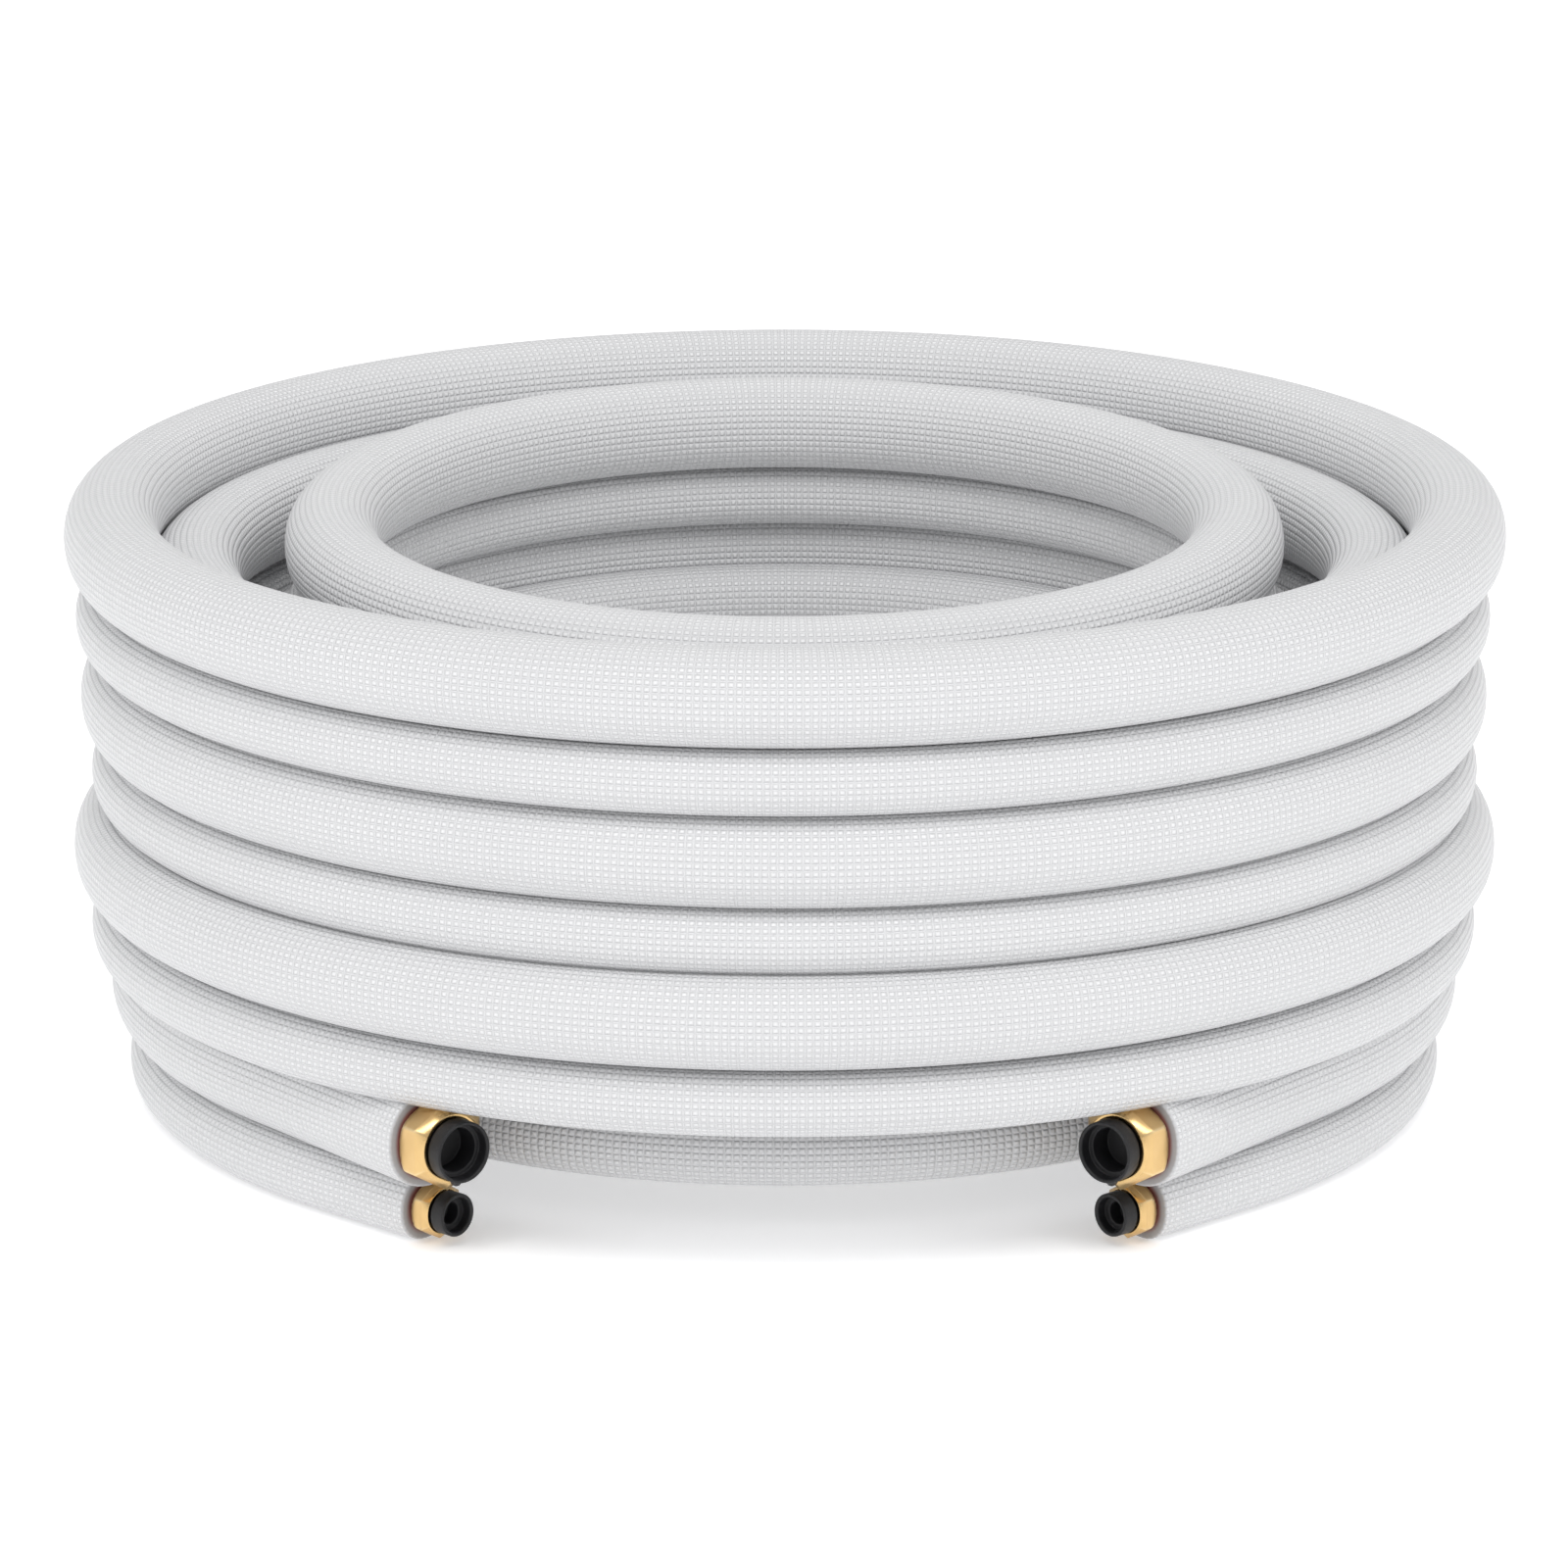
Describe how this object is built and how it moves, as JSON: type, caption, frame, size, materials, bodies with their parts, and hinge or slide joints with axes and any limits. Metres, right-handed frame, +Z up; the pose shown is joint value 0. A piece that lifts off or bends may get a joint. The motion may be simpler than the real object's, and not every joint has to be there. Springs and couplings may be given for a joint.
{
  "type": "mini split line set",
  "caption": "Coil of paired insulated copper pipes for a split air conditioner, with brass flare nuts and black thread caps on the ends.",
  "frame": {"origin": "centre of the coil's footprint, at the floor it lies on", "axes": "+Z up along the coil's axis, -Y towards the side where the four pipe ends come out, +X to the right when looking at that side"},
  "size_m": [0.4864, 0.4864, 0.2133],
  "materials": {
    "foam_insulation": "embossed pale grey-white foam jacket",
    "copper_pipe": "bare annealed copper",
    "brass_nut": "machined, bright",
    "black_cap_plastic": "satin black"
  },
  "bodies": {
    "root": {"line_set_coil": "foam_insulation", "suction_end_turn": "foam_insulation", "suction_pipe_left": "copper_pipe", "suction_flare_nut_left": "brass_nut", "suction_thread_cap_left": "black_cap_plastic", "suction_pipe_right": "copper_pipe", "suction_flare_nut_right": "brass_nut", "suction_thread_cap_right": "black_cap_plastic", "liquid_end_turn": "foam_insulation", "liquid_pipe_left": "copper_pipe", "liquid_flare_nut_left": "brass_nut", "liquid_thread_cap_left": "black_cap_plastic", "liquid_pipe_right": "copper_pipe", "liquid_flare_nut_right": "brass_nut", "liquid_thread_cap_right": "black_cap_plastic"}
  },
  "joints": []
}
